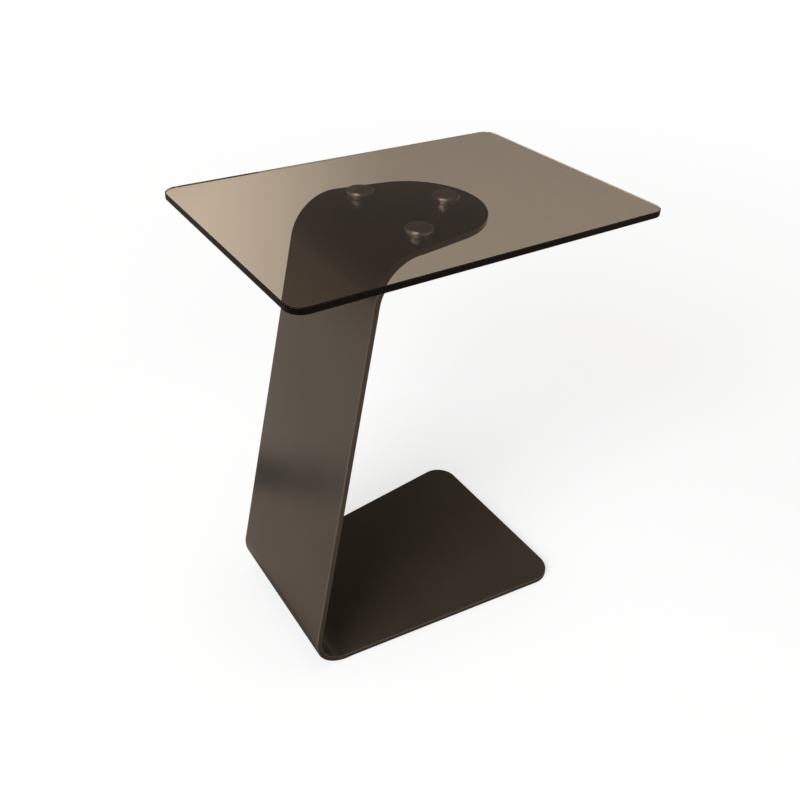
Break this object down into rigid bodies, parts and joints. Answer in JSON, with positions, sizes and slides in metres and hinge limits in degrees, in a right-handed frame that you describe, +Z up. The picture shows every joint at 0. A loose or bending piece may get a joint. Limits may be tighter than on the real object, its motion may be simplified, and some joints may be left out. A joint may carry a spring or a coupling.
{
  "type": "side table",
  "caption": "C shaped side table: a bent steel plate with a flat foot, a leaning column and an arm that carries a tinted rectangular glass top.",
  "frame": {"origin": "on the floor, under the middle of the glass top", "axes": "+Z up; +X from the column towards the free end of the foot and arm, along the glass's long side; -Y is the front"},
  "size_m": [0.48, 0.33, 0.6],
  "materials": {
    "tea_glass": "polished, tea-tinted",
    "bronze_coat": "satin powder coat, dark bronze",
    "bright_metal": "turned, bright",
    "zinc_steel": "zinc plated",
    "pad_rubber": "matte"
  },
  "bodies": {
    "root": {"glass_top": "tea_glass", "bent_plate": "bronze_coat", "disc_rear": "bright_metal", "disc_front": "bright_metal", "disc_end": "bright_metal", "washer_rear": "zinc_steel", "washer_front": "zinc_steel", "washer_end": "zinc_steel", "screw_rear": "zinc_steel", "screw_front": "zinc_steel", "screw_end": "zinc_steel", "pad_rear_back": "pad_rubber", "pad_front_back": "pad_rubber", "pad_rear_end": "pad_rubber", "pad_front_end": "pad_rubber"}
  },
  "joints": []
}
